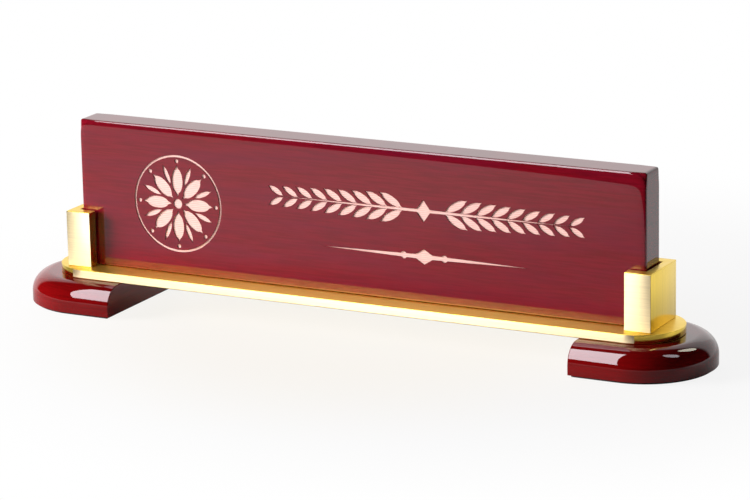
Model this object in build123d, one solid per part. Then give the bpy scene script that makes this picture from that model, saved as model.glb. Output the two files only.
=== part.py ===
from build123d import *
import os

# Desk name plate. A lacquered board drops into two channel posts, which stand on a flat bar with round ends.
# The bar lies on two bullnosed feet. Origin: centre of the footprint on the desk. +X runs along the board,
# -Y is the side that is read and +Z is up. Every size is in millimetres.

# Name board
board_length = 254.0
board_height = 61.6
board_thickness = 14.0
board_edge_radius = 1.8

# Channel posts: the board's ends reach into their slots with room to lift out
slot_engagement = 6.7
slot_side_clearance = 1.0
slot_end_clearance = 0.8
post_wall = 4.9
post_web = 3.6
post_height = 23.3
post_edge_break = 0.35

# Bar
bar_thickness = 3.65
bar_side_margin = 5.25
bar_end_margin = 8.2
bar_edge_break = 0.35

# Feet
foot_height = 12.0
foot_side_margin = 10.6
foot_end_margin = 12.9
foot_inner_reach = 17.1
foot_bullnose_radius = 8.2
foot_least_upright = 1.5
foot_end_ease = 0.4

# Felt pads under the feet
pad_thickness = 1.0
pad_inset = 1.2

# Foot screws: pan heads with washers in counterbores, threaded into the bar
foot_screw_diameter = 4.0
foot_screw_head_diameter = 8.0
foot_screw_head_height = 2.6
foot_screw_head_bevel = 0.8
foot_screw_inboard_offset = 8.6
foot_screw_outboard_offset = 2.8
bar_skin = 0.45
washer_rim = 0.5
washer_thickness = 0.8
head_cover = 1.2
counterbore_clearance = 0.5
foot_hole_clearance = 0.2

# Post screws: countersunk heads under the bar, threaded into the two side walls of a post
post_screw_diameter = 3.0
post_screw_head_diameter = 5.5
post_screw_engagement = 8.0

# Fits shared by both kinds of screw
thread_clearance = 0.05
hole_end_clearance = 0.4
drive_slot_width = 0.9
drive_slot_depth = 1.0
drive_slot_end_wall = 1.4

# Heights of the stacked pieces above the desk
foot_bottom = pad_thickness
bar_bottom = foot_bottom + foot_height
bar_top = bar_bottom + bar_thickness
foot_screw_head_low = foot_bottom + head_cover
washer_low = foot_screw_head_low + foot_screw_head_height
counterbore_floor = washer_low + washer_thickness
foot_screw_hole_top = bar_top - bar_skin
foot_screw_top = foot_screw_hole_top - hole_end_clearance
post_screw_top = bar_top + post_screw_engagement

# Sections and places along the bar, on the +X side
slot_width = board_thickness + 2 * slot_side_clearance
post_width = slot_width + 2 * post_wall
slot_floor_x = board_length / 2 + slot_end_clearance
post_inner_x = board_length / 2 - slot_engagement
post_outer_x = slot_floor_x + post_web
bar_width = post_width + 2 * bar_side_margin
bar_length = 2 * (post_outer_x + bar_end_margin)
foot_width = bar_width + 2 * foot_side_margin
foot_inner_x = post_inner_x - foot_inner_reach
foot_outer_x = bar_length / 2 + foot_end_margin
foot_round_x = foot_outer_x - foot_width / 2
foot_bullnose = min(foot_bullnose_radius, foot_height - foot_least_upright)
washer_diameter = foot_screw_head_diameter + 2 * washer_rim

# Screw places on the +X side, as (x, y)
foot_screw_places = [
    (post_inner_x - foot_screw_inboard_offset, 0),
    (post_outer_x + foot_screw_outboard_offset, 0),
]
post_screw_x = (post_inner_x + post_outer_x) / 2
post_screw_y = (post_width - post_wall) / 2
post_screw_places = [(post_screw_x, -post_screw_y), (post_screw_x, post_screw_y)]

# Blanks are centred in plan and stand on their base
on_base = (Align.CENTER, Align.CENTER, Align.MIN)


def both_ends(places):
    """The same places at the +X end and, turned half round, at the -X end."""
    return places + [(-x, -y) for x, y in places]


def upright_cylinder(x, y, diameter, low, high):
    """A round bar or hole from one height to another."""
    return Pos(x, y, low) * Cylinder(diameter / 2, high - low, align=on_base)


def countersink(x, y, head_diameter, shank_diameter, low):
    """A 90 degree cone, wide end down, as under a flat screw head."""
    depth = (head_diameter - shank_diameter) / 2
    return Pos(x, y, low) * Cone(head_diameter / 2, shank_diameter / 2, depth, align=on_base)


def drive_recess(x, y, head_diameter, low):
    """A cross recess in the underside of a screw head."""
    span = head_diameter - 2 * drive_slot_end_wall
    one_way = Box(span, drive_slot_width, drive_slot_depth, align=on_base)
    other_way = Box(drive_slot_width, span, drive_slot_depth, align=on_base)
    return Pos(x, y, low) * (one_way + other_way)


def d_plan(inner_x, round_x, half_width):
    """Plan of a foot: flat inner end, straight sides and a half-round outer end."""
    front = Line((inner_x, -half_width), (round_x, -half_width))
    round_end = CenterArc((round_x, 0), half_width, -90, 180)
    back = Line((round_x, half_width), (inner_x, half_width))
    inner_end = Line((inner_x, half_width), (inner_x, -half_width))
    return make_face([front, round_end, back, inner_end])


def name_board():
    """The board, its edges rounded over by the lacquer and its polishing."""
    blank = Box(board_length, board_thickness, board_height, align=on_base)
    return Pos(0, 0, bar_top) * fillet(blank.edges(), board_edge_radius)


def channel_post():
    """A U-channel stood on end, its slot open towards the middle of the stand."""
    middle_x = (post_inner_x + post_outer_x) / 2
    slot_middle_x = (post_inner_x + slot_floor_x) / 2
    outline = Pos(middle_x, 0) * Rectangle(post_outer_x - post_inner_x, post_width)
    slot = Pos(slot_middle_x, 0) * Rectangle(slot_floor_x - post_inner_x, slot_width)
    post = Pos(0, 0, bar_top) * extrude(outline - slot, post_height)
    top_rim = post.faces().sort_by(Axis.Z)[-1].edges()
    outer_corners = post.edges().filter_by(Axis.Z).sort_by(Axis.X)[-2:]
    post = chamfer(top_rim + outer_corners, post_edge_break)
    hole = post_screw_diameter + 2 * thread_clearance
    for x, y in post_screw_places:
        post -= upright_cylinder(x, y, hole, bar_top, post_screw_top + hole_end_clearance)
    return post


def base_bar():
    """The flat bar with half-round ends, drilled from below for the screws of both ends."""
    bar = Pos(0, 0, bar_bottom) * extrude(SlotOverall(bar_length, bar_width), bar_thickness)
    rims = bar.faces().filter_by(Axis.Z).edges()
    bar = chamfer(rims, bar_edge_break)
    tapped_hole = foot_screw_diameter + 2 * thread_clearance
    for x, y in both_ends(foot_screw_places):
        bar -= upright_cylinder(x, y, tapped_hole, bar_bottom, foot_screw_hole_top)
    hole = post_screw_diameter + 2 * thread_clearance
    head = post_screw_head_diameter + 2 * thread_clearance
    for x, y in both_ends(post_screw_places):
        bar -= upright_cylinder(x, y, hole, bar_bottom, bar_top)
        bar -= countersink(x, y, head, hole, bar_bottom)
    return bar


def foot():
    """A D-shaped block, bullnosed round its sides and outer end and cut flat at its inner end."""
    plan = d_plan(foot_inner_x, foot_round_x, foot_width / 2)
    block = Pos(0, 0, foot_bottom) * extrude(plan, foot_height)
    upper_rim = block.faces().sort_by(Axis.Z)[-1].edges().sort_by(Axis.X)[1:]
    block = fillet(upper_rim, foot_bullnose)
    end_rim = block.faces().sort_by(Axis.X)[0].edges().sort_by(Axis.Z)[1:]
    block = chamfer(end_rim, foot_end_ease)
    hole = foot_screw_diameter + 2 * foot_hole_clearance
    counterbore = washer_diameter + 2 * counterbore_clearance
    for x, y in foot_screw_places:
        block -= upright_cylinder(x, y, hole, foot_bottom, bar_bottom)
        block -= upright_cylinder(x, y, counterbore, foot_bottom, counterbore_floor)
    return block


def foot_pad():
    """The felt pad that covers a foot's underside and its screw heads."""
    plan = d_plan(foot_inner_x + pad_inset, foot_round_x, foot_width / 2 - pad_inset)
    return extrude(plan, pad_thickness)


def foot_screw(x, y):
    """A pan-head screw, head down in its counterbore, threaded into the bar."""
    head = upright_cylinder(x, y, foot_screw_head_diameter, foot_screw_head_low, washer_low)
    head = chamfer(head.edges().sort_by(Axis.Z)[0], foot_screw_head_bevel)
    shank = upright_cylinder(x, y, foot_screw_diameter, washer_low, foot_screw_top)
    return head + shank - drive_recess(x, y, foot_screw_head_diameter, foot_screw_head_low)


def foot_washer(x, y):
    """A flat washer between a pan head and the floor of its counterbore."""
    hole = foot_screw_diameter + 2 * foot_hole_clearance
    disc = upright_cylinder(x, y, washer_diameter, washer_low, counterbore_floor)
    return disc - upright_cylinder(x, y, hole, washer_low, counterbore_floor)


def post_screw(x, y):
    """A countersunk screw, flush under the bar, threaded into a post's side wall."""
    head = countersink(x, y, post_screw_head_diameter, post_screw_diameter, bar_bottom)
    shank = upright_cylinder(x, y, post_screw_diameter, bar_bottom, post_screw_top)
    return head + shank - drive_recess(x, y, post_screw_head_diameter, bar_bottom)


def turned(shape):
    """The -X twin of a +X piece: the stand is the same after half a turn about Z."""
    return shape.rotate(Axis.Z, 180)


def write(name, solids):
    """Writes one named piece, or one group of like fasteners, as a STEP file."""
    export_step(Compound(label=name, children=solids), f"parts/{name}.step")


def main():
    os.makedirs("parts", exist_ok=True)
    write("name_board", [name_board()])
    write("base_bar", [base_bar()])
    end_pieces = {
        "post": [channel_post()],
        "foot": [foot()],
        "foot_pad": [foot_pad()],
        "foot_screws": [foot_screw(x, y) for x, y in foot_screw_places],
        "foot_washers": [foot_washer(x, y) for x, y in foot_screw_places],
        "post_screws": [post_screw(x, y) for x, y in post_screw_places],
    }
    for name, solids in end_pieces.items():
        write(f"right_{name}", solids)
        write(f"left_{name}", [turned(solid) for solid in solids])


main()
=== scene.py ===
"""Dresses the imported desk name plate: lacquered board, gold stand, bullnosed feet, felt pads and studio."""

import math

import bmesh
import bpy
from bpy.props import FloatProperty, FloatVectorProperty, PointerProperty
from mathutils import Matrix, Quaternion, Vector


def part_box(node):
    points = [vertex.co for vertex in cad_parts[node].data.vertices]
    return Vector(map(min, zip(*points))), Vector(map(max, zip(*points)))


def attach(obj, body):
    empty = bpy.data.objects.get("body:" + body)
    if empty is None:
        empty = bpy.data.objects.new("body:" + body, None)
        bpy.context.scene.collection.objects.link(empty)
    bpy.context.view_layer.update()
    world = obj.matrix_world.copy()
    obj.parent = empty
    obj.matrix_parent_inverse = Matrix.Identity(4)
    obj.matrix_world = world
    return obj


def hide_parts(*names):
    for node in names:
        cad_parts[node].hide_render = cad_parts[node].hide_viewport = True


bl_info = {
    "name": "Desk name plate",
    "version": (1, 0, 0),
    "blender": (4, 5, 0),
    "location": "View3D > Sidebar > Name plate",
    "description": "Models and finishes a desk name plate on a gold stand with lacquered feet",
    "category": "Object",
}

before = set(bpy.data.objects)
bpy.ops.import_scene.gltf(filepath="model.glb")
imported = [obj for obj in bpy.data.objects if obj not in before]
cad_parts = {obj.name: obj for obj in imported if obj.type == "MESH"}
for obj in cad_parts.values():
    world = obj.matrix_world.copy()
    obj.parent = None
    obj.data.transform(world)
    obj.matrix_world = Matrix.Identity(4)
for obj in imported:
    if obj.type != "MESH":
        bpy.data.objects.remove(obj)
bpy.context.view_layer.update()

MM = 0.001
TINY = 0.01 * MM

# Axes, as a mesh counts them
X = 0
Y = 1
Z = 2

# Size of a linishing stroke in x, y and z, along the stand or upright
ALONG = (40 * MM, 0.5 * MM, 0.5 * MM)
UPRIGHT = (0.5 * MM, 0.5 * MM, 40 * MM)

# Sockets of a colour mix, which share their names with its other kinds
MIX_A = 6
MIX_B = 7
MIX_RESULT = 2


def linear(code):
    """An sRGB hex colour as linear red, green and blue."""
    channels = [int(code[place:place + 2], 16) / 255 for place in (1, 3, 5)]
    return [c / 12.92 if c <= 0.04045 else ((c + 0.055) / 1.055) ** 2.4 for c in channels]


WHITE = linear("#FFFFFF")
BLACK = linear("#000000")


def length(name, description, default):
    """A size in metres for a settings group."""
    return FloatProperty(name=name, description=description, default=default, unit="LENGTH", precision=5)


def colour(name, description, code):
    """A colour for a settings group, written as an sRGB hex value."""
    return FloatVectorProperty(name=name, description=description, default=linear(code), subtype="COLOR",
                               min=0, max=1)


class BoardSettings(bpy.types.PropertyGroup):
    """Sizes and colours of the lacquered board."""
    face_rounding: length("Face rounding", "How far the rounded edges reach onto the two faces", 9 * MM)
    foot_rounding: length("Foot rounding", "How far the lower edges reach onto the two faces", 1.2 * MM)
    rim_rounding: length("Rim rounding", "How far the rounded edges reach into the thickness", 1.7 * MM)
    rim_bevel: length("Rim bevel", "Width of the flat planed off the rim before it is rounded", 0.6 * MM)
    corner_crease: FloatProperty(name="Corner crease", description="Keeps the board's four corners crisp",
                                 default=0.5, min=0, max=1, subtype="FACTOR")
    engraving_depth: length("Engraving depth", "Depth of the cut ornament", 0.35 * MM)
    rosette_x: length("Rosette place", "Rosette's distance from the board's middle, to the left", 81 * MM)
    rosette_radius: length("Rosette radius", "Outer radius of the rosette's ring", 20.5 * MM)
    spray_x: length("Spray place", "Sprays' distance from the board's middle, to the right", 31.5 * MM)
    spray_length: length("Spray length", "Length of both leaf sprays together", 140 * MM)
    rule_length: length("Rule length", "Length of the tapered rule under the sprays", 94 * MM)
    stain: colour("Stain", "Rosewood stain seen through the lacquer", "#7C0C1B")
    dark_grain: colour("Dark grain", "Darker grain lines under the lacquer", "#6E0A15")
    violet_figure: colour("Violet figure", "Cooler patches of figure in the veneer", "#69122E")
    bare_wood: colour("Bare wood", "Floor of the engraving", "#FAD3C5")
    bare_wood_line: colour("Raster line", "Lines left by the engraving passes", "#EAAE9F")
    charred_wood: colour("Charred wood", "Walls of the engraving", "#7F3F34")


class StandSettings(bpy.types.PropertyGroup):
    """Sizes and colours of the stand under the board."""
    post_wall: length("Post wall", "Thickness of a post's two side walls", 4.9 * MM)
    post_web: length("Post web", "Thickness of a post's outer wall", 3.6 * MM)
    metal_edge: length("Metal edge", "Rounding of the sawn and tumbled metal edges", 0.2 * MM)
    bar_under_edge: length("Bar's under edge", "Rounding of the bar's lower edge", 0.5 * MM)
    bullnose: length("Bullnose", "Radius of the feet's rounded upper edge", 8.2 * MM)
    foot_ease: length("Foot ease", "Rounding of the edges of a foot's flat inner end", 0.4 * MM)
    pad_edge: length("Pad edge", "Rounding of a felt pad's lower edge", 0.35 * MM)
    gold: colour("Gold", "Bright gold of the polished metal faces", "#F0CE56")
    # Paler than the polished gold partly for the linished finish and partly as a painted sheen, standing in
    # for a lamp's whitened reflection
    satin_gold_with_painted_sheen: colour("Satin gold", "Paler gold of the finely linished metal faces", "#F8EABD")
    foot_stain: colour("Foot stain", "Red stain under the feet's lacquer", "#790608")
    foot_grain: colour("Foot grain", "Darker grain under the feet's lacquer", "#6C0506")
    felt: colour("Felt", "Felt pads", "#1B1716")
    felt_fibre: colour("Felt fibre", "Paler fibres in the felt", "#3A3330")
    zinc: colour("Zinc", "Zinc plated screws and washers", "#B9BDC2")


class StudioSettings(bpy.types.PropertyGroup):
    """Camera, table and room."""
    azimuth: FloatProperty(name="Azimuth", description="Camera's angle round the object, from the front",
                           default=math.radians(27.2966), subtype="ANGLE")
    elevation: FloatProperty(name="Elevation", description="Camera's angle above the table",
                             default=math.radians(14.6958), subtype="ANGLE")
    roll: FloatProperty(name="Roll", description="Camera's turn about its own axis",
                        default=math.radians(-1.1203), subtype="ANGLE")
    distance: length("Distance", "Camera's distance from its target", 1432.05 * MM)
    target_x: length("Target across", "Camera target's place along the board", 6.124 * MM)
    target_z: length("Target height", "Camera target's height above the table", 34.055 * MM)
    focal_length: length("Focal length", "Camera's focal length, on a sensor 36 mm wide", 170.81 * MM)
    table_front: length("Table front", "How far the table reaches towards the camera", 270 * MM)
    table_back: length("Table back", "How far the table reaches away from the camera", 1800 * MM)
    table_width: length("Table width", "Width of the table", 3600 * MM)
    paper: colour("Paper", "White paper on the table", "#E6E5E3")
    # A warm glow painted onto the paper under the gold bar, standing in for the light the bar throws back
    painted_gold_glow: colour("Gold glow", "White that the gold bar throws back onto the paper below it", "#FFFCF6")
    room: colour("Room", "Unlit room that the gloss reflects in front", "#1E1C1C")


def add_node(tree, kind, inputs=None, **settings):
    """Adds one shader node with its settings; an input gets a value, or a link from another node."""
    made = tree.nodes.new(kind)
    for name, value in settings.items():
        setattr(made, name, value)
    for name, value in (inputs or {}).items():
        if isinstance(value, bpy.types.NodeSocket):
            tree.links.new(value, made.inputs[name])
        else:
            made.inputs[name].default_value = value
    return made


def new_material(name):
    """An empty node material, its node tree and its Object coordinates."""
    material = bpy.data.materials.new(name)
    material.use_nodes = True
    tree = material.node_tree
    tree.nodes.clear()
    return material, tree, add_node(tree, "ShaderNodeTexCoord").outputs["Object"]


def per_unit(*size):
    """The scale at which one unit of a pattern covers the given real size."""
    return [1 / step for step in size]


def rgba(shade, factor=1):
    """A colour for a shader socket, darkened by a factor."""
    return (*(factor * c for c in shade), 1)


def piano_lacquer(name, stain, dark_grain, violet_figure):
    """Stained rosewood veneer, grain-filled, sprayed with clear polyester lacquer and buffed.

    The buffed coat mirrors the studio sharply. The fine straight grain shows dimly in the deep red below
    it, in slightly cooler and warmer patches.
    """
    grain_size = (14 * MM, 20 * MM, 0.7 * MM)
    figure_size = (60 * MM, 30 * MM, 9 * MM)
    coat_wave_size = (18 * MM, 18 * MM, 18 * MM)
    coat_wave_height = 0.012 * MM
    material, tree, place = new_material(name)
    grain_place = add_node(tree, "ShaderNodeMapping", {"Vector": place, "Scale": per_unit(*grain_size)})
    grain = add_node(tree, "ShaderNodeTexNoise", {
        "Vector": grain_place.outputs[0], "Scale": 1.0, "Detail": 2.0})
    grain_share = add_node(tree, "ShaderNodeMapRange", {
        "Value": grain.outputs["Fac"], "From Min": 0.36, "From Max": 0.62})
    lines = add_node(tree, "ShaderNodeMix", {
        0: grain_share.outputs[0], MIX_A: rgba(dark_grain), MIX_B: rgba(stain)}, data_type="RGBA")
    figure_place = add_node(tree, "ShaderNodeMapping", {"Vector": place, "Scale": per_unit(*figure_size)})
    figure = add_node(tree, "ShaderNodeTexNoise", {
        "Vector": figure_place.outputs[0], "Scale": 1.0, "Detail": 4.0})
    figure_share = add_node(tree, "ShaderNodeMapRange", {
        "Value": figure.outputs["Fac"], "From Min": 0.42, "From Max": 0.72, "To Max": 0.45})
    tint = add_node(tree, "ShaderNodeMix", {
        0: figure_share.outputs[0], MIX_A: lines.outputs[MIX_RESULT], MIX_B: rgba(violet_figure)},
        data_type="RGBA")
    flow_place = add_node(tree, "ShaderNodeMapping", {"Vector": place, "Scale": per_unit(*coat_wave_size)})
    flow = add_node(tree, "ShaderNodeTexNoise", {
        "Vector": flow_place.outputs[0], "Scale": 1.0, "Detail": 1.0})
    relief = add_node(tree, "ShaderNodeBump", {
        "Height": flow.outputs["Fac"], "Strength": 1.0, "Distance": coat_wave_height})
    shader = add_node(tree, "ShaderNodeBsdfPrincipled", {
        "Base Color": tint.outputs[MIX_RESULT], "Roughness": 0.5, "Specular IOR Level": 0.0,
        "Coat Weight": 1.0, "Coat Roughness": 0.015, "Coat IOR": 1.52,
        "Coat Normal": relief.outputs["Normal"]})
    add_node(tree, "ShaderNodeOutputMaterial", {"Surface": shader.outputs["BSDF"]})
    return material


def engraved_wood(name, wood, line):
    """Bare rosewood at the bottom of a laser engraving.

    It is matt and pale, with a darker line for each pass of the beam. The passes are drawn 0.8 mm apart,
    coarser than the beam's own, so that they show.
    """
    pass_spacing = 0.8 * MM
    pass_depth = 0.03 * MM
    fibre_size = (2.5 * MM, 1 * MM, 0.7 * MM)
    wave_radians_per_unit = 20
    one_band_per_unit = 2 * math.pi / wave_radians_per_unit
    material, tree, place = new_material(name)
    pass_place = add_node(tree, "ShaderNodeMapping", {
        "Vector": place, "Scale": per_unit(1, 1, pass_spacing)})
    passes = add_node(tree, "ShaderNodeTexWave", {
        "Vector": pass_place.outputs[0], "Scale": one_band_per_unit},
        wave_type="BANDS", bands_direction="Z")
    fibre_place = add_node(tree, "ShaderNodeMapping", {"Vector": place, "Scale": per_unit(*fibre_size)})
    fibre = add_node(tree, "ShaderNodeTexNoise", {
        "Vector": fibre_place.outputs[0], "Scale": 1.0, "Detail": 3.0})
    both = add_node(tree, "ShaderNodeMath", {
        0: passes.outputs["Fac"], 1: fibre.outputs["Fac"]}, operation="ADD")
    share = add_node(tree, "ShaderNodeMapRange", {
        "Value": both.outputs[0], "From Min": 0.35, "From Max": 1.05})
    tint = add_node(tree, "ShaderNodeMix", {
        0: share.outputs[0], MIX_A: rgba(line), MIX_B: rgba(wood)}, data_type="RGBA")
    relief = add_node(tree, "ShaderNodeBump", {
        "Height": passes.outputs["Fac"], "Strength": 1.0, "Distance": pass_depth})
    shader = add_node(tree, "ShaderNodeBsdfPrincipled", {
        "Base Color": tint.outputs[MIX_RESULT], "Roughness": 0.8, "Specular IOR Level": 0.25,
        "Normal": relief.outputs["Normal"]})
    add_node(tree, "ShaderNodeOutputMaterial", {"Surface": shader.outputs["BSDF"]})
    return material


def charred_wood(name, wood):
    """Rosewood browned by the beam at the walls of the engraving: matt, with darker scorch marks."""
    scorch_size = (1.2 * MM, 1.2 * MM, 1.2 * MM)
    scorch_shade = 0.45
    material, tree, place = new_material(name)
    scorch_place = add_node(tree, "ShaderNodeMapping", {"Vector": place, "Scale": per_unit(*scorch_size)})
    scorch = add_node(tree, "ShaderNodeTexNoise", {
        "Vector": scorch_place.outputs[0], "Scale": 1.0, "Detail": 3.0})
    share = add_node(tree, "ShaderNodeMapRange", {
        "Value": scorch.outputs["Fac"], "From Min": 0.3, "From Max": 0.65})
    tint = add_node(tree, "ShaderNodeMix", {
        0: share.outputs[0], MIX_A: rgba(wood, scorch_shade), MIX_B: rgba(wood)}, data_type="RGBA")
    shader = add_node(tree, "ShaderNodeBsdfPrincipled", {
        "Base Color": tint.outputs[MIX_RESULT], "Roughness": 0.7, "Specular IOR Level": 0.2})
    add_node(tree, "ShaderNodeOutputMaterial", {"Surface": shader.outputs["BSDF"]})
    return material


def brushed_gold(name, gold, stroke, axis, roughness, spread):
    """Aluminium linished along one axis, bright dipped and anodised gold.

    The strokes draw reflections out across themselves, so that a lamp becomes a broad sheen, and show as
    fine lines close by. They are drawn 0.5 mm wide, coarser than the belt's own grit, so that they show.
    """
    made = bpy.data.materials.get(name)
    if made:
        return made
    stroke_shade = 0.9
    stroke_depth = 0.004 * MM
    unevenness = 0.03
    material, tree, place = new_material(name)
    stroke_place = add_node(tree, "ShaderNodeMapping", {"Vector": place, "Scale": per_unit(*stroke)})
    lines = add_node(tree, "ShaderNodeTexNoise", {
        "Vector": stroke_place.outputs[0], "Scale": 1.0, "Detail": 3.0})
    share = add_node(tree, "ShaderNodeMapRange", {
        "Value": lines.outputs["Fac"], "From Min": 0.3, "From Max": 0.65})
    tint = add_node(tree, "ShaderNodeMix", {
        0: share.outputs[0], MIX_A: rgba(gold, stroke_shade), MIX_B: rgba(gold)}, data_type="RGBA")
    rough = add_node(tree, "ShaderNodeMapRange", {
        "Value": lines.outputs["Fac"], "From Min": 0.3, "From Max": 0.7,
        "To Min": roughness + unevenness, "To Max": roughness - unevenness})
    relief = add_node(tree, "ShaderNodeBump", {
        "Height": lines.outputs["Fac"], "Strength": 1.0, "Distance": stroke_depth})
    round_axis = add_node(tree, "ShaderNodeTangent", direction_type="RADIAL", axis=axis)
    shader = add_node(tree, "ShaderNodeBsdfPrincipled", {
        "Base Color": tint.outputs[MIX_RESULT], "Metallic": 1.0, "Roughness": rough.outputs[0],
        "Anisotropic": spread, "Tangent": round_axis.outputs["Tangent"],
        "Normal": relief.outputs["Normal"]})
    add_node(tree, "ShaderNodeOutputMaterial", {"Surface": shader.outputs["BSDF"]})
    return material


def dress_in_gold(piece, settings, end_finish, end_turn):
    """Satin gold on front and back, polished gold above and below, and a third finish on the turned ends. The
    satin gold is paler partly for its linished finish and partly as a painted sheen, standing in for a lamp's
    whitened reflection.
    """
    satin = brushed_gold("gold_anodised_aluminium_satin_linished_painted_sheen", settings.satin_gold_with_painted_sheen, ALONG, "X",
                         roughness=0.66, spread=0.86)
    polished = brushed_gold("gold_anodised_aluminium_polished", settings.gold, ALONG, "X",
                            roughness=0.36, spread=0.1)
    for finish in (satin, polished, end_finish):
        piece.data.materials.append(finish)
    least_tilt = 0.25
    least_turn = math.sin(math.radians(end_turn))
    for face in piece.data.polygons:
        if abs(face.normal.z) > least_tilt:
            face.material_index = 1
        elif abs(face.normal.x) > least_turn:
            face.material_index = 2


def pressed_felt(name, felt, fibre):
    """Pressed wool felt: dark, matt and slightly fuzzy, with paler fibres lying every way."""
    tangle_size = (0.7 * MM, 0.7 * MM, 0.5 * MM)
    tangle_depth = 0.15 * MM
    material, tree, place = new_material(name)
    tangle_place = add_node(tree, "ShaderNodeMapping", {"Vector": place, "Scale": per_unit(*tangle_size)})
    tangle = add_node(tree, "ShaderNodeTexNoise", {
        "Vector": tangle_place.outputs[0], "Scale": 1.0, "Detail": 5.0})
    share = add_node(tree, "ShaderNodeMapRange", {
        "Value": tangle.outputs["Fac"], "From Min": 0.4, "From Max": 0.7})
    tint = add_node(tree, "ShaderNodeMix", {
        0: share.outputs[0], MIX_A: rgba(felt), MIX_B: rgba(fibre)}, data_type="RGBA")
    relief = add_node(tree, "ShaderNodeBump", {
        "Height": tangle.outputs["Fac"], "Strength": 1.0, "Distance": tangle_depth})
    shader = add_node(tree, "ShaderNodeBsdfPrincipled", {
        "Base Color": tint.outputs[MIX_RESULT], "Roughness": 0.95, "Specular IOR Level": 0.15,
        "Sheen Weight": 0.35, "Sheen Roughness": 0.5, "Normal": relief.outputs["Normal"]})
    add_node(tree, "ShaderNodeOutputMaterial", {"Surface": shader.outputs["BSDF"]})
    return material


def zinc_plated_steel(name, zinc):
    """Bright zinc plate on turned steel: bluish grey, a little cloudy, with fine turning marks."""
    cloud_size = (3 * MM, 3 * MM, 3 * MM)
    cloud_shade = 0.7
    turning_size = (1.5 * MM, 1.5 * MM, 0.2 * MM)
    turning_depth = 0.01 * MM
    material, tree, place = new_material(name)
    cloud_place = add_node(tree, "ShaderNodeMapping", {"Vector": place, "Scale": per_unit(*cloud_size)})
    clouds = add_node(tree, "ShaderNodeTexNoise", {
        "Vector": cloud_place.outputs[0], "Scale": 1.0, "Detail": 3.0})
    turning_place = add_node(tree, "ShaderNodeMapping", {"Vector": place, "Scale": per_unit(*turning_size)})
    turning = add_node(tree, "ShaderNodeTexNoise", {
        "Vector": turning_place.outputs[0], "Scale": 1.0, "Detail": 2.0})
    tint = add_node(tree, "ShaderNodeMix", {
        0: clouds.outputs["Fac"], MIX_A: rgba(zinc, cloud_shade), MIX_B: rgba(zinc)}, data_type="RGBA")
    rough = add_node(tree, "ShaderNodeMapRange", {
        "Value": clouds.outputs["Fac"], "From Min": 0.3, "From Max": 0.7, "To Min": 0.24, "To Max": 0.4})
    relief = add_node(tree, "ShaderNodeBump", {
        "Height": turning.outputs["Fac"], "Strength": 1.0, "Distance": turning_depth})
    shader = add_node(tree, "ShaderNodeBsdfPrincipled", {
        "Base Color": tint.outputs[MIX_RESULT], "Metallic": 1.0, "Roughness": rough.outputs[0],
        "Normal": relief.outputs["Normal"]})
    add_node(tree, "ShaderNodeOutputMaterial", {"Surface": shader.outputs["BSDF"]})
    return material


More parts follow.
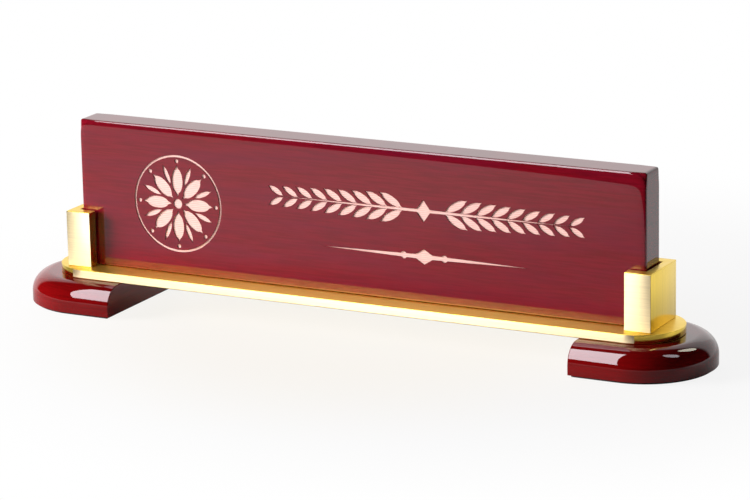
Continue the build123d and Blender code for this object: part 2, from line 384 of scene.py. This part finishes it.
def white_paper(name, paper, painted_gold_glow):
    """Smooth matt backdrop paper.

    The camera sees it almost pure white, so that only a soft shadow shows round the object, with a warm glow
    painted on under the bar. The gloss sees it white further off, with a pool of light painted at the front
    left and shade painted in a strip before the feet.
    """
    shadow_middle = (40 * MM, 50 * MM, 0)
    front_middle = (0, -200 * MM, 0)
    painted_pool_middle = (-170 * MM, -260 * MM, 0)
    painted_strip_before = 45 * MM
    material, tree, place = new_material(name)
    path = add_node(tree, "ShaderNodeLightPath")

    # How white the camera sees it
    from_shadow = add_node(tree, "ShaderNodeVectorMath", {0: place, 1: shadow_middle}, operation="DISTANCE")
    white_seen = add_node(tree, "ShaderNodeMapRange", {
        "Value": from_shadow.outputs["Value"], "From Min": 120 * MM, "From Max": 270 * MM, "To Min": 0.88},
        interpolation_type="SMOOTHSTEP")

    # How white the gloss sees it, with a pool of light painted at the front left where the softbox would
    # shine
    from_front = add_node(tree, "ShaderNodeVectorMath", {0: place, 1: front_middle}, operation="DISTANCE")
    far_paper = add_node(tree, "ShaderNodeMapRange", {
        "Value": from_front.outputs["Value"], "From Min": 150 * MM, "From Max": 450 * MM, "To Min": 0.1},
        interpolation_type="SMOOTHSTEP")
    from_pool = add_node(tree, "ShaderNodeVectorMath", {0: place, 1: painted_pool_middle}, operation="DISTANCE")
    painted_light_pool = add_node(tree, "ShaderNodeMapRange", {
        "Value": from_pool.outputs["Value"], "From Min": 40 * MM, "From Max": 280 * MM,
        "To Min": 1.0, "To Max": 0.1}, interpolation_type="SMOOTHSTEP")
    white_mirrored = add_node(tree, "ShaderNodeMath", {
        0: far_paper.outputs[0], 1: painted_light_pool.outputs[0]}, operation="MAXIMUM")
    mirrored = add_node(tree, "ShaderNodeMath", {
        0: path.outputs["Is Glossy Ray"], 1: white_mirrored.outputs[0]}, operation="MULTIPLY")
    share = add_node(tree, "ShaderNodeMath", {
        0: path.outputs["Is Camera Ray"], 1: white_seen.outputs[0], 2: mirrored.outputs[0]},
        operation="MULTIPLY_ADD")

    # How much shade the gloss sees painted in a strip before the feet
    along = add_node(tree, "ShaderNodeSeparateXYZ", {0: place})
    off_strip = add_node(tree, "ShaderNodeMath", {0: along.outputs["Y"], 1: painted_strip_before}, operation="ADD")
    from_strip = add_node(tree, "ShaderNodeMath", {0: off_strip.outputs[0]}, operation="ABSOLUTE")
    painted_strip_shade = add_node(tree, "ShaderNodeMapRange", {
        "Value": from_strip.outputs[0], "From Min": 20 * MM, "From Max": 55 * MM,
        "To Min": 0.5, "To Max": 0.0})
    painted_shade_in_gloss = add_node(tree, "ShaderNodeMath", {
        0: path.outputs["Is Glossy Ray"], 1: painted_strip_shade.outputs[0]}, operation="MULTIPLY")

    # White, with a warm glow painted on under the bar, standing in for the light the gold bar throws back
    from_object = add_node(tree, "ShaderNodeVectorMath", {0: place}, operation="LENGTH")
    painted_glow_under_bar = add_node(tree, "ShaderNodeMapRange", {
        "Value": from_object.outputs["Value"], "From Min": 50 * MM, "From Max": 160 * MM},
        interpolation_type="SMOOTHSTEP")
    white = add_node(tree, "ShaderNodeMix", {
        0: painted_glow_under_bar.outputs[0], MIX_A: rgba(painted_gold_glow), MIX_B: rgba(WHITE)}, data_type="RGBA")

    plain = add_node(tree, "ShaderNodeBsdfDiffuse", {"Color": rgba(paper)})
    # Black painted shade, mixed over the paper in the strip for the gloss only
    shade = add_node(tree, "ShaderNodeBsdfDiffuse", {"Color": rgba(BLACK)})
    glow = add_node(tree, "ShaderNodeEmission", {"Color": white.outputs[MIX_RESULT], "Strength": 1.0})
    lit = add_node(tree, "ShaderNodeMixShader", {
        0: share.outputs[0], 1: plain.outputs[0], 2: glow.outputs[0]})
    mix = add_node(tree, "ShaderNodeMixShader", {
        0: painted_shade_in_gloss.outputs[0], 1: lit.outputs[0], 2: shade.outputs[0]})
    add_node(tree, "ShaderNodeOutputMaterial", {"Surface": mix.outputs[0]})
    return material


def only(piece):
    """Makes one object the only selected one, and the active one."""
    bpy.ops.object.select_all(action="DESELECT")
    piece.select_set(True)
    bpy.context.view_layer.objects.active = piece


def named(name):
    """Names the primitive that was just added."""
    piece = bpy.context.object
    piece.name = name
    return piece


def settle(piece):
    """Puts an object's place, turn and size into its mesh."""
    only(piece)
    bpy.ops.object.transform_apply(location=True, rotation=True, scale=True)


def pick(kind, test):
    """In edit mode, selects only the vertices, edges or faces that pass a test."""
    bpy.ops.mesh.select_mode(type=kind)
    bpy.ops.mesh.select_all(action="DESELECT")
    data = bpy.context.edit_object.data
    mesh = bmesh.from_edit_mesh(data)
    for part in {"VERT": mesh.verts, "EDGE": mesh.edges, "FACE": mesh.faces}[kind]:
        if test(part):
            part.select_set(True)
    mesh.select_flush_mode()
    bmesh.update_edit_mesh(data)


def all_at(part, axis, place):
    """Whether all corners of an edge or face lie at one place along an axis."""
    return all(abs(corner.co[axis] - place) < TINY for corner in part.verts)


def at_either(part, axis, low, high):
    """Whether all corners of an edge or face lie at the low or at the high side of a box."""
    return all_at(part, axis, low[axis]) or all_at(part, axis, high[axis])


def slice_across(axis, place):
    """In edit mode, cuts the whole mesh along a plane square to an axis."""
    point = Vector((0, 0, 0))
    point[axis] = place
    normal = Vector((0, 0, 0))
    normal[axis] = 1
    bpy.ops.mesh.select_all(action="SELECT")
    bpy.ops.mesh.bisect(plane_co=point, plane_no=normal)


def raise_flat(height):
    """In edit mode, raises a flat outline into a closed solid."""
    bpy.ops.mesh.select_all(action="SELECT")
    bpy.ops.mesh.extrude_region_move(TRANSFORM_OT_translate={"value": (0, 0, height)})
    bpy.ops.mesh.select_all(action="SELECT")
    bpy.ops.mesh.normals_make_consistent(inside=False)


def apply_modifier(piece, kind, **settings):
    """Adds a modifier with its settings and applies it."""
    only(piece)
    bpy.ops.object.modifier_add(type=kind)
    modifier = piece.modifiers[-1]
    for name, value in settings.items():
        setattr(modifier, name, value)
    bpy.ops.object.modifier_apply(modifier=modifier.name)


def hand_over(piece, body, node, smooth_angle=40):
    """Shades a finished piece, and sets it on its body in place of its node."""
    only(piece)
    bpy.ops.object.shade_smooth_by_angle(angle=math.radians(smooth_angle))
    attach(piece, body)
    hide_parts(node)


def flat_cutter(name, sides, fill="NGON"):
    """A circle primitive one unit across, left in edit mode."""
    bpy.ops.object.select_all(action="DESELECT")
    bpy.ops.mesh.primitive_circle_add(vertices=sides, radius=0.5, fill_type=fill)
    cutter = named(name)
    bpy.ops.object.mode_set(mode="EDIT")
    return cutter


def close_cutter():
    """In edit mode, raises a flat cutter by one unit and goes back to object mode."""
    raise_flat(1)
    bpy.ops.object.mode_set(mode="OBJECT")


def leaf_cutter():
    """A leaf one unit long: a round drawn out to a point at both ends."""
    cutter = flat_cutter("leaf_cutter", 24)
    near_the_end = 0.49
    tip = 1.28
    pick("VERT", lambda corner: abs(corner.co.x) > near_the_end)
    bpy.ops.transform.resize(value=(tip, 1, 1), center_override=(0, 0, 0))
    bpy.ops.mesh.select_all(action="SELECT")
    bpy.ops.transform.resize(value=(1 / tip, 1, 1), center_override=(0, 0, 0))
    close_cutter()
    return cutter


def plain_cutter(name, sides):
    """A disc, or with four sides a lozenge."""
    cutter = flat_cutter(name, sides)
    close_cutter()
    return cutter


def ring_cutter():
    """A thin ring."""
    cutter = flat_cutter("ring_cutter", 96, "NOTHING")
    inner = 0.955
    bpy.ops.mesh.select_all(action="SELECT")
    bpy.ops.mesh.extrude_edges_move()
    bpy.ops.transform.resize(value=(inner, inner, 1), center_override=(0, 0, 0))
    close_cutter()
    return cutter


class Engraver:
    """Stamps copies of the unit cutters onto the board's face and collects them."""

    def __init__(self, face_y, depth):
        self.face_y = face_y
        self.depth = depth
        self.stamps = []

    def stamp(self, cutter, x, z, across, high, turn=0.0):
        """One copy, with its size across and high, turned anticlockwise as seen from the front."""
        only(cutter)
        bpy.ops.object.duplicate()
        copy = bpy.context.object
        overlap = 1 * MM
        copy.scale = (across, high, self.depth + overlap)
        copy.rotation_euler = (math.pi / 2, -turn, 0)
        copy.location = (x, self.face_y + self.depth, z)
        settle(copy)
        self.stamps.append(copy)

    def joined(self):
        """All the stamps as one object."""
        bpy.ops.object.select_all(action="DESELECT")
        for copy in self.stamps:
            copy.select_set(True)
        bpy.context.view_layer.objects.active = self.stamps[0]
        bpy.ops.object.join()
        return bpy.context.object


def engrave_rosette(engraver, leaf, disc, ring, x, z, radius):
    """A rosette: eight broad petals, eight narrow ones between them, beads and a ring."""
    petals = 8
    # Shares of the radius: a petal's are its place, its length and its width
    broad_petal = (0.47, 0.66, 0.25)
    narrow_petal = (0.62, 0.46, 0.1)
    eye_size = 0.2
    bead_place = 0.875
    bead_size = 0.085
    engraver.stamp(disc, x, z, eye_size * radius, eye_size * radius)
    engraver.stamp(ring, x, z, 2 * radius, 2 * radius)
    for step in range(2 * petals):
        turn = step * math.pi / petals
        broad = step % 2 == 0
        reach, across, high = broad_petal if broad else narrow_petal
        engraver.stamp(leaf, x + reach * radius * math.cos(turn), z + reach * radius * math.sin(turn),
                       across * radius, high * radius, turn)
        if broad:
            engraver.stamp(disc, x + bead_place * radius * math.cos(turn),
                           z + bead_place * radius * math.sin(turn), bead_size * radius, bead_size * radius)


def engrave_sprays(engraver, leaf, lozenge, x, z, whole_length):
    """Two leaf sprays that point away from a lozenge."""
    pairs = 9
    lean = math.radians(29)
    first_root = 8.5 * MM
    last_root = whole_length / 2 - 7.5 * MM
    lozenge_size = (6.8 * MM, 9.4 * MM)
    stem_size = (whole_length * 0.97, 1.4 * MM)
    # A leaf's size next to the lozenge, and how much less it is at the tip, in millimetres
    longest = 12
    shortened_by = 4
    widest = 3.3
    narrowed_by = 0.9
    middle_share = 0.56
    engraver.stamp(lozenge, x, z, *lozenge_size)
    engraver.stamp(lozenge, x, z, *stem_size)
    for side in (-1, 1):
        for step in range(pairs):
            share = step / (pairs - 1)
            leaf_length = (longest - shortened_by * share) * MM
            leaf_width = (widest - narrowed_by * share) * MM
            middle = middle_share * leaf_length
            root = x + side * (first_root + share * (last_root - first_root))
            for lift in (-1, 1):
                turn = lift * lean if side > 0 else math.pi - lift * lean
                engraver.stamp(leaf, root + middle * math.cos(turn), z + middle * math.sin(turn),
                               leaf_length, leaf_width, turn)


def engrave_rule(engraver, disc, lozenge, x, z, whole_length):
    """A rule that tapers to both ends, with a lozenge and two beads at its middle."""
    rule_height = 2 * MM
    lozenge_size = (10.5 * MM, 6.4 * MM)
    bead_place = 9 * MM
    bead_size = 3 * MM
    engraver.stamp(lozenge, x, z, whole_length, rule_height)
    engraver.stamp(lozenge, x, z, *lozenge_size)
    for side in (-1, 1):
        engraver.stamp(disc, x + side * bead_place, z, bead_size, bead_size)


class NAMEPLATE_OT_board(bpy.types.Operator):
    """Models the lacquered board and engraves its ornament"""
    bl_idname = "nameplate.board"
    bl_label = "Lacquered board"

    def execute(self, context):
        settings = context.scene.nameplate_board
        low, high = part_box("name_board")
        bpy.ops.object.select_all(action="DESELECT")
        bpy.ops.mesh.primitive_cube_add(size=1, location=(low + high) / 2)
        board = named("lacquered_board")
        board.scale = high - low
        settle(board)
        self.pillow_edges(settings, board, low, high)
        board.data.materials.append(piano_lacquer(
            "rosewood_piano_lacquer", settings.stain, settings.dark_grain, settings.violet_figure))
        self.engrave(settings, board, low, high)
        hand_over(board, "board", "name_board", smooth_angle=35)
        return {"FINISHED"}

    def pillow_edges(self, settings, board, low, high):
        """Rounds the edges softly, as thick lacquer does, and leaves the rest of each face flat."""
        bpy.ops.object.mode_set(mode="EDIT")
        pick("EDGE", lambda edge: at_either(edge, Y, low, high) and not all_at(edge, Z, low.z))
        bpy.ops.mesh.bevel(offset=settings.rim_bevel, segments=1, affect="EDGES")
        face, foot, rim = settings.face_rounding, settings.foot_rounding, settings.rim_rounding
        for axis, low_side, high_side in ((X, face, face), (Y, rim, rim), (Z, foot, face)):
            for times in (1, 2):
                slice_across(axis, low[axis] + times * low_side)
                slice_across(axis, high[axis] - times * high_side)
        pick("EDGE", lambda edge: at_either(edge, X, low, high) and at_either(edge, Z, low, high))
        bpy.ops.transform.edge_crease(value=settings.corner_crease)
        bpy.ops.object.mode_set(mode="OBJECT")
        apply_modifier(board, "SUBSURF", levels=4, render_levels=4)
        bpy.ops.object.mode_set(mode="EDIT")
        flat = 1e-4 * MM
        for face_y in (low.y, high.y):
            pick("FACE", lambda part: all(abs(corner.co.y - face_y) < flat for corner in part.verts))
            bpy.ops.mesh.dissolve_faces()
        bpy.ops.object.mode_set(mode="OBJECT")

    def engrave(self, settings, board, low, high):
        """Cuts the rosette, the sprays and the rule into the board's front face."""
        middle_z = (low.z + high.z) / 2
        rosette_z = middle_z - 1 * MM
        spray_z = middle_z + 6.8 * MM
        rule_z = middle_z - 12 * MM
        leaf = leaf_cutter()
        disc = plain_cutter("disc_cutter", 32)
        lozenge = plain_cutter("lozenge_cutter", 4)
        ring = ring_cutter()
        engraver = Engraver(low.y, settings.engraving_depth)
        engrave_rosette(engraver, leaf, disc, ring, -settings.rosette_x, rosette_z, settings.rosette_radius)
        engrave_sprays(engraver, leaf, lozenge, settings.spray_x, spray_z, settings.spray_length)
        engrave_rule(engraver, disc, lozenge, settings.spray_x, rule_z, settings.rule_length)
        cutter = engraver.joined()
        for unit in (leaf, disc, lozenge, ring):
            bpy.data.objects.remove(unit)
        cutter.data.materials.append(engraved_wood(
            "laser_engraved_rosewood", settings.bare_wood, settings.bare_wood_line))
        cutter.data.materials.append(charred_wood("laser_charred_rosewood", settings.charred_wood))
        for face in cutter.data.polygons:
            is_floor = abs(face.normal.y) > 0.5
            face.material_index = 0 if is_floor else 1
        apply_modifier(board, "BOOLEAN", operation="DIFFERENCE", object=cutter, solver="EXACT",
                       use_self=True, material_mode="TRANSFER")
        bpy.data.objects.remove(cutter)


class NAMEPLATE_OT_bar(bpy.types.Operator):
    """Models the gold bar with its half-round ends"""
    bl_idname = "nameplate.bar"
    bl_label = "Gold bar"

    def execute(self, context):
        settings = context.scene.nameplate_stand
        low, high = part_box("base_bar")
        # Half of this count is odd, so no corner lies at the middle and the two halves draw apart cleanly
        sides = 178
        radius = (high.y - low.y) / 2 / math.cos(math.pi / sides)
        bpy.ops.object.select_all(action="DESELECT")
        bpy.ops.mesh.primitive_cylinder_add(vertices=sides, radius=radius, depth=high.z - low.z,
                                            location=(0, 0, (low.z + high.z) / 2))
        bar = named("gold_bar")
        settle(bar)
        bpy.ops.object.mode_set(mode="EDIT")
        for side in (-1, 1):
            pick("VERT", lambda corner: corner.co.x * side > 0)
            bpy.ops.transform.translate(value=(side * (high.x - radius), 0, 0))
        for edge_z, offset in ((low.z, settings.bar_under_edge), (high.z, settings.metal_edge)):
            pick("EDGE", lambda edge: all_at(edge, Z, edge_z))
            bpy.ops.mesh.bevel(offset=offset, segments=4, profile=0.5, affect="EDGES")
        bpy.ops.object.mode_set(mode="OBJECT")
        buffed = brushed_gold("gold_anodised_aluminium_buffed", settings.gold, ALONG, "X",
                              roughness=0.16, spread=0.2)
        dress_in_gold(bar, settings, buffed, end_turn=16)
        hand_over(bar, "stand", "base_bar")
        return {"FINISHED"}


def ends_of(low, high, side):
    """The inner and the outer end of a piece on one side of the stand."""
    return (low.x, high.x) if side > 0 else (high.x, low.x)


class NAMEPLATE_OT_posts(bpy.types.Operator):
    """Models the two channel posts that hold the board's ends"""
    bl_idname = "nameplate.posts"
    bl_label = "Channel posts"

    def execute(self, context):
        settings = context.scene.nameplate_stand
        upright = brushed_gold("gold_anodised_aluminium_linished_upright", settings.gold, UPRIGHT, "Z",
                               roughness=0.18, spread=0.4)
        for name, side in (("left_post", -1), ("right_post", 1)):
            low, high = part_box(name)
            bpy.ops.object.select_all(action="DESELECT")
            bpy.ops.mesh.primitive_plane_add(size=1, location=((low.x + high.x) / 2, 0, low.z))
            post = named(f"{name}_channel")
            post.scale = (high.x - low.x, high.y - low.y, 1)
            settle(post)
            outer = ends_of(low, high, side)[1]
            slot_floor = outer - side * settings.post_web
            slot_side = high.y - settings.post_wall
            bpy.ops.object.mode_set(mode="EDIT")
            slice_across(X, slot_floor)
            slice_across(Y, slot_side)
            slice_across(Y, -slot_side)
            pick("FACE", lambda face: abs(face.calc_center_median().y) < slot_side
                 and side * (slot_floor - face.calc_center_median().x) > 0)
            bpy.ops.mesh.delete(type="FACE")
            raise_flat(high.z - low.z)
            bpy.ops.mesh.dissolve_limited(angle_limit=math.radians(1))
            bpy.ops.object.mode_set(mode="OBJECT")
            apply_modifier(post, "BEVEL", width=settings.metal_edge, segments=3, limit_method="ANGLE")
            dress_in_gold(post, settings, upright, end_turn=45)
            hand_over(post, "stand", name)
        return {"FINISHED"}


def d_block(name, low, high, side, segments):
    """A D in plan, flat at its inner end, raised to its height; left in edit mode."""
    inner, outer = ends_of(low, high, side)
    round_x = outer - side * high.y
    bpy.ops.object.select_all(action="DESELECT")
    bpy.ops.mesh.primitive_circle_add(vertices=2 * segments, radius=high.y, fill_type="NGON",
                                      location=(round_x, 0, low.z))
    piece = named(name)
    settle(piece)
    bpy.ops.object.mode_set(mode="EDIT")
    bpy.ops.mesh.select_all(action="SELECT")
    bpy.ops.mesh.bisect(plane_co=(round_x, 0, 0), plane_no=(side, 0, 0), clear_inner=True)
    pick("EDGE", lambda edge: all_at(edge, X, round_x))
    bpy.ops.mesh.extrude_edges_move(TRANSFORM_OT_translate={"value": (inner - round_x, 0, 0)})
    bpy.ops.mesh.select_all(action="SELECT")
    bpy.ops.mesh.remove_doubles(threshold=TINY / 10)
    bpy.ops.mesh.select_mode(type="FACE")
    bpy.ops.mesh.select_all(action="SELECT")
    bpy.ops.mesh.dissolve_faces()
    raise_flat(high.z - low.z)
    return piece


class NAMEPLATE_OT_feet(bpy.types.Operator):
    """Models the two bullnosed feet"""
    bl_idname = "nameplate.feet"
    bl_label = "Bullnosed feet"

    def execute(self, context):
        settings = context.scene.nameplate_stand
        lacquer = piano_lacquer(
            "red_piano_lacquer", settings.foot_stain, settings.foot_grain, settings.foot_grain)
        for name, side in (("left_foot", -1), ("right_foot", 1)):
            low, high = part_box(name)
            inner = ends_of(low, high, side)[0]
            foot = d_block(f"{name}_bullnose", low, high, side, segments=72)
            pick("EDGE", lambda edge: all_at(edge, Z, high.z) and not all_at(edge, X, inner))
            bpy.ops.mesh.bevel(offset=settings.bullnose, segments=20, profile=0.5, affect="EDGES",
                               clamp_overlap=False)
            pick("EDGE", lambda edge: all_at(edge, X, inner) and not all_at(edge, Z, low.z))
            bpy.ops.mesh.bevel(offset=settings.foot_ease, segments=3, profile=0.5, affect="EDGES")
            bpy.ops.object.mode_set(mode="OBJECT")
            foot.data.materials.append(lacquer)
            hand_over(foot, "stand", name)
        return {"FINISHED"}


class NAMEPLATE_OT_pads(bpy.types.Operator):
    """Models the felt pads under the feet"""
    bl_idname = "nameplate.pads"
    bl_label = "Felt pads"

    def execute(self, context):
        settings = context.scene.nameplate_stand
        felt = pressed_felt("pressed_wool_felt", settings.felt, settings.felt_fibre)
        for name, side in (("left_foot_pad", -1), ("right_foot_pad", 1)):
            low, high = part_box(name)
            pad = d_block(f"{name}_felt", low, high, side, segments=40)
            pick("EDGE", lambda edge: all_at(edge, Z, low.z))
            bpy.ops.mesh.bevel(offset=settings.pad_edge, segments=2, profile=0.5, affect="EDGES")
            bpy.ops.object.mode_set(mode="OBJECT")
            pad.data.materials.append(felt)
            hand_over(pad, "stand", name)
        return {"FINISHED"}


class NAMEPLATE_OT_fasteners(bpy.types.Operator):
    """Finishes the hidden screws and washers"""
    bl_idname = "nameplate.fasteners"
    bl_label = "Screws and washers"

    def execute(self, context):
        zinc = zinc_plated_steel("bright_zinc_plated_steel", context.scene.nameplate_stand.zinc)
        for end in ("left", "right"):
            for kind in ("foot_screws", "foot_washers", "post_screws"):
                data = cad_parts[f"{end}_{kind}"].data
                data.materials.clear()
                data.materials.append(zinc)
        return {"FINISHED"}


def softbox(name, place, aim, size, radiance, tint, shape="RECTANGLE", roll=0.0,
            lights_colour=True, shines=True):
    """An area lamp of a given brightness, aimed at a point. It lights colours, shines in gloss, or both."""
    data = bpy.data.lights.new(name, "AREA")
    data.shape = shape
    data.size, data.size_y = size
    data.energy = math.pi * size[0] * size[1] * radiance
    data.color = tint
    lamp = bpy.data.objects.new(name, data)
    bpy.context.scene.collection.objects.link(lamp)
    lamp.location = place
    lamp.rotation_mode = "QUATERNION"
    turn = Quaternion((0, 0, 1), math.radians(roll))
    lamp.rotation_quaternion = (Vector(aim) - Vector(place)).to_track_quat("-Z", "Y") @ turn
    lamp.visible_camera = False
    lamp.visible_diffuse = lights_colour
    lamp.visible_glossy = shines


class NAMEPLATE_OT_studio(bpy.types.Operator):
    """Sets up the white table, the lamps, the room and the camera"""
    bl_idname = "nameplate.studio"
    bl_label = "Studio"

    def execute(self, context):
        settings = context.scene.nameplate_studio
        toward = Vector((math.sin(settings.azimuth), -math.cos(settings.azimuth), 0))
        self.table(settings, toward)
        self.room(settings, toward)
        self.lamps()
        self.camera(context, settings)
        context.scene.view_settings.view_transform = "Standard"
        return {"FINISHED"}

    def table(self, settings, toward):
        """A paper-covered table. It ends just below the picture, where the gloss mirrors the dark room."""
        depth = settings.table_front + settings.table_back
        middle = toward * (settings.table_front - depth / 2)
        bpy.ops.object.select_all(action="DESELECT")
        bpy.ops.mesh.primitive_plane_add(size=1, location=middle, rotation=(0, 0, settings.azimuth))
        table = named("paper_table")
        table.scale = (settings.table_width, depth, 1)
        settle(table)
        table.data.materials.append(white_paper("white_paper", settings.paper, settings.painted_gold_glow))

    def room(self, settings, toward):
        """A white backdrop behind the object, for the gloss a dark room elsewhere, and a soft fill."""
        world = bpy.data.worlds.new("studio_room")
        bpy.context.scene.world = world
        world.use_nodes = True
        tree = world.node_tree
        tree.nodes.clear()
        path = add_node(tree, "ShaderNodeLightPath")
        heading = add_node(tree, "ShaderNodeTexCoord")
        turned_right = Quaternion((0, 0, 1), math.radians(-9))
        backdrop_way = turned_right @ -toward
        facing = add_node(tree, "ShaderNodeVectorMath", {
            0: heading.outputs["Generated"], 1: backdrop_way}, operation="DOT_PRODUCT")

        # What the camera and the gloss see
        backdrop = add_node(tree, "ShaderNodeMapRange", {
            "Value": facing.outputs["Value"], "From Min": 0.5, "From Max": 0.63},
            interpolation_type="SMOOTHSTEP")
        white = add_node(tree, "ShaderNodeMath", {
            0: backdrop.outputs[0], 1: path.outputs["Is Camera Ray"]}, operation="MAXIMUM")
        tint = add_node(tree, "ShaderNodeMix", {
            0: white.outputs[0], MIX_A: rgba(settings.room), MIX_B: rgba(WHITE)}, data_type="RGBA")
        seen = add_node(tree, "ShaderNodeBackground", {
            "Color": tint.outputs[MIX_RESULT], "Strength": 1.0})

        # What fills the shadows: most from the backdrop, least from the ceiling
        bounce = add_node(tree, "ShaderNodeMapRange", {
            "Value": facing.outputs["Value"], "From Min": -0.2, "From Max": 0.6,
            "To Min": 0.06, "To Max": 0.25})
        height = add_node(tree, "ShaderNodeSeparateXYZ", {0: heading.outputs["Generated"]})
        dim_ceiling = add_node(tree, "ShaderNodeMapRange", {
            "Value": height.outputs["Z"], "From Min": 0.1, "From Max": 0.6, "To Min": 1.0, "To Max": 0.25})
        strength = add_node(tree, "ShaderNodeMath", {
            0: bounce.outputs[0], 1: dim_ceiling.outputs[0]}, operation="MULTIPLY")
        fill = add_node(tree, "ShaderNodeBackground", {
            "Color": rgba(WHITE), "Strength": strength.outputs[0]})

        mix = add_node(tree, "ShaderNodeMixShader", {
            0: path.outputs["Is Diffuse Ray"], 1: seen.outputs[0], 2: fill.outputs[0]})
        add_node(tree, "ShaderNodeOutputWorld", {"Surface": mix.outputs[0]})

    def lamps(self):
        """Two lights for the colours, three for highlights in the gloss, and a weak panel behind."""
        middle = (0, 0, 0.03)
        cool = (0.98, 0.94, 1)
        softbox("side_light", place=(-1.7, -1.0, 0.55), aim=middle, size=(1.0, 1.0),
                radiance=28.0, tint=cool, shines=False)
        softbox("back_light", place=(-1.1, 1.6, 0.25), aim=middle, size=(1.0, 1.0),
                radiance=14.0, tint=(1, 0.98, 0.97), shines=False)
        softbox("key_softbox", place=(-0.272, -0.375, 0.465), aim=(-0.31, 0, 0), size=(0.38, 0.71),
                radiance=12.0, tint=cool, roll=-10, lights_colour=False)
        softbox("right_lamp", place=(0.61, 0.04, 0.89), aim=middle, size=(0.24, 0.4),
                radiance=4.0, tint=(0.97, 0.93, 1), shape="ELLIPSE", lights_colour=False)
        softbox("hair_lamp", place=(0.46, 0.54, 0.79), aim=middle, size=(0.24, 0.36),
                radiance=5.5, tint=(1, 0.97, 0.8), shape="ELLIPSE", lights_colour=False)
        softbox("backdrop_panel", place=(-0.6, 1.15, 0.42), aim=middle, size=(1.7, 0.8),
                radiance=0.25, tint=(1, 1, 1))

    def camera(self, context, settings):
        """The camera at the photograph's viewing angle."""
        back = Vector((math.sin(settings.azimuth) * math.cos(settings.elevation),
                       -math.cos(settings.azimuth) * math.cos(settings.elevation),
                       math.sin(settings.elevation)))
        data = bpy.data.cameras.new("photo_camera")
        data.sensor_width = 36
        data.lens = settings.focal_length / MM
        camera = bpy.data.objects.new("photo_camera", data)
        context.scene.collection.objects.link(camera)
        camera.location = Vector((settings.target_x, 0, settings.target_z)) + back * settings.distance
        camera.rotation_mode = "QUATERNION"
        turn = Quaternion((0, 0, 1), settings.roll)
        camera.rotation_quaternion = (-back).to_track_quat("-Z", "Y") @ turn
        context.scene.camera = camera


OPERATORS = (NAMEPLATE_OT_board, NAMEPLATE_OT_bar, NAMEPLATE_OT_posts, NAMEPLATE_OT_feet, NAMEPLATE_OT_pads,
             NAMEPLATE_OT_fasteners, NAMEPLATE_OT_studio)
GROUPS = {
    "nameplate_board": BoardSettings,
    "nameplate_stand": StandSettings,
    "nameplate_studio": StudioSettings,
}


class NAMEPLATE_PT_panel(bpy.types.Panel):
    """Lists the pieces of the name plate and their settings"""
    bl_idname = "NAMEPLATE_PT_panel"
    bl_label = "Name plate"
    bl_space_type = "VIEW_3D"
    bl_region_type = "UI"
    bl_category = "Name plate"

    def draw(self, context):
        for operator in OPERATORS:
            self.layout.operator(operator.bl_idname)
        for owner, group in GROUPS.items():
            settings = getattr(context.scene, owner)
            for name in group.__annotations__:
                self.layout.prop(settings, name)


def register():
    for name, group in GROUPS.items():
        bpy.utils.register_class(group)
        setattr(bpy.types.Scene, name, PointerProperty(type=group))
    for kind in (*OPERATORS, NAMEPLATE_PT_panel):
        bpy.utils.register_class(kind)


def unregister():
    for kind in reversed((*OPERATORS, NAMEPLATE_PT_panel)):
        bpy.utils.unregister_class(kind)
    for name, group in GROUPS.items():
        delattr(bpy.types.Scene, name)
        bpy.utils.unregister_class(group)


def main():
    register()
    bpy.ops.nameplate.board()
    bpy.ops.nameplate.bar()
    bpy.ops.nameplate.posts()
    bpy.ops.nameplate.feet()
    bpy.ops.nameplate.pads()
    bpy.ops.nameplate.fasteners()
    bpy.ops.nameplate.studio()


if __name__ == "__main__":
    main()
